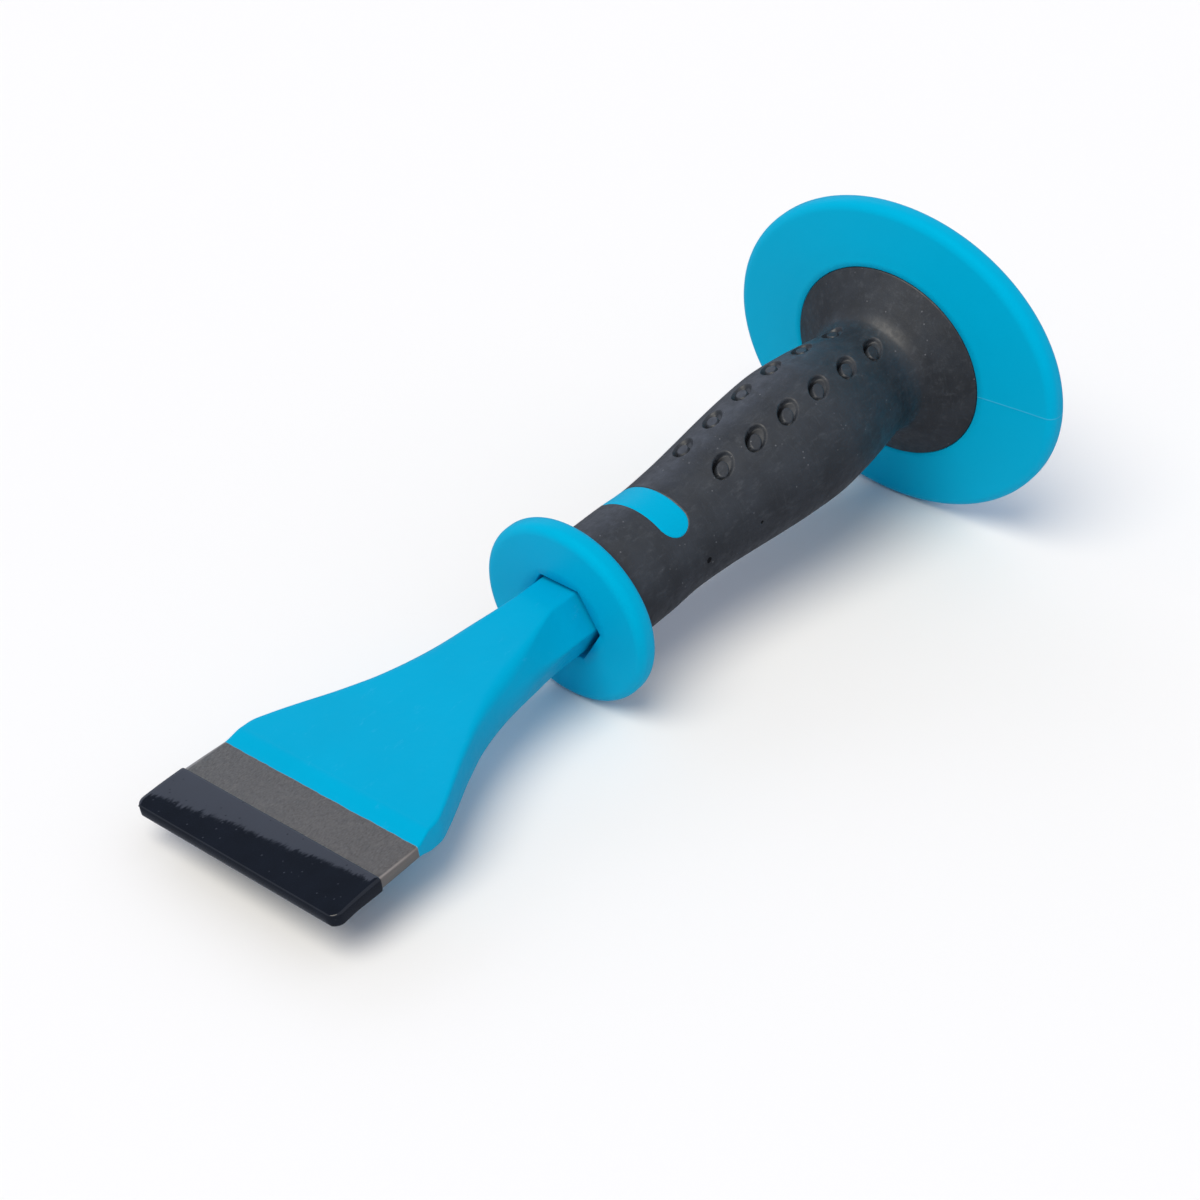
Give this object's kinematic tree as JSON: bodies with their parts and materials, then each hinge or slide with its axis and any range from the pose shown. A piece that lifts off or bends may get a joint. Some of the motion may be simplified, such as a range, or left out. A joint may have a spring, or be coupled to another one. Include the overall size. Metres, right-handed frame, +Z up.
{
  "type": "guarded bolster chisel",
  "caption": "Wide-bladed hand chisel: painted forged bar with a hexagonal shank, dipped cutting edge, and a rubber-covered handle with a collar and an oval hand guard.",
  "frame": {"origin": "on the bench, under the middle of the tool's box, with the tool lying on the rims of its collar and its hand guard", "axes": "+X from the cutting edge towards the struck head as seen from above, +Z up; the tool's own axis rises 8.5 degrees towards the head"},
  "size_m": [0.2496, 0.0932, 0.0814],
  "materials": {
    "blue_paint": "satin blue paint over forged steel, with a bare ground band behind the dipped edge",
    "black_dip": "thick glossy blue-black protective dip",
    "blue_moulding": "satin blue moulded plastic",
    "black_rubber": "matt charcoal soft moulding"
  },
  "bodies": {
    "root": {"chisel_bar": "blue_paint", "edge_dip": "black_dip", "handle_core": "blue_moulding", "grip_sleeve": "black_rubber"}
  },
  "joints": []
}
